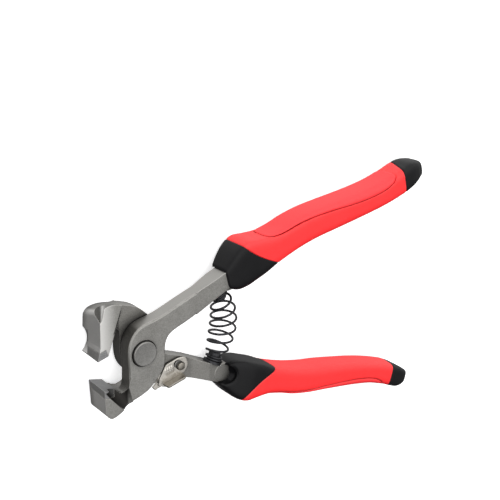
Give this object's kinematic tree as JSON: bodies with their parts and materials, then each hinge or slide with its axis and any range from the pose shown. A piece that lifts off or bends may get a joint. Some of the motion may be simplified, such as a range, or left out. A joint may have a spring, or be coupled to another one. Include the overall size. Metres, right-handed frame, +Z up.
{
  "type": "tile nippers",
  "caption": "Hand tile nippers: pivoted forged halves with carbide-edged jaws, spring-opened handles in two-colour moulded grips and a small swing latch.",
  "frame": {"origin": "middle of the box's base, the tool lying flat with its handles fully open", "axes": "+X from the jaws to the handle ends, +Y towards the upper handle, +Z up along the pivot pin"},
  "size_m": [0.209, 0.1384, 0.0186],
  "materials": {
    "forged_steel": "ground and bead-blasted satin",
    "carbide": "ground",
    "braze": "as run",
    "pin_steel": "turned",
    "black_steel": "black oxide, oiled",
    "nickel": "nickel plate",
    "red_plastic": "satin moulded",
    "red_rubber": "soft moulded",
    "black_plastic": "satin moulded"
  },
  "bodies": {
    "rear": {"rear_arm": "forged_steel", "upper_carbide_tip": "carbide", "upper_braze": "braze", "lower_spring_peg": "pin_steel", "pivot_pin": "pin_steel", "pivot_tail_ring": "pin_steel", "lap_washer": "pin_steel", "lock_rivet": "nickel", "lock_washer": "pin_steel", "return_spring": "black_steel", "lower_grip_collar": "black_plastic", "lower_grip_body": "red_plastic", "lower_grip_pad": "red_rubber", "lower_grip_end_cap": "black_plastic"},
    "front": {"front_arm": "forged_steel", "lower_carbide_tip": "carbide", "lower_braze": "braze", "upper_spring_peg": "pin_steel", "upper_grip_collar": "black_plastic", "upper_grip_body": "red_plastic", "upper_grip_pad": "red_rubber", "upper_grip_end_cap": "black_plastic"},
    "lock": {"lock_lever": "nickel"}
  },
  "joints": [
    {"name": "jaw_pivot", "type": "hinge", "parent": "rear", "child": "front", "pos_m": [-0.08032, -0.00044, 0.0093], "axis": [0, 0, -1], "range_deg": [0, 33.5], "stiffness_Nm_per_rad": 1.2, "springref_deg": -14.32, "deforming": ["return_spring"]},
    {"name": "lock_pivot", "type": "hinge", "parent": "rear", "child": "lock", "pos_m": [-0.05592, -0.01634, 0.0093], "axis": [0, 0, -1], "range_deg": [0, 18]}
  ]
}
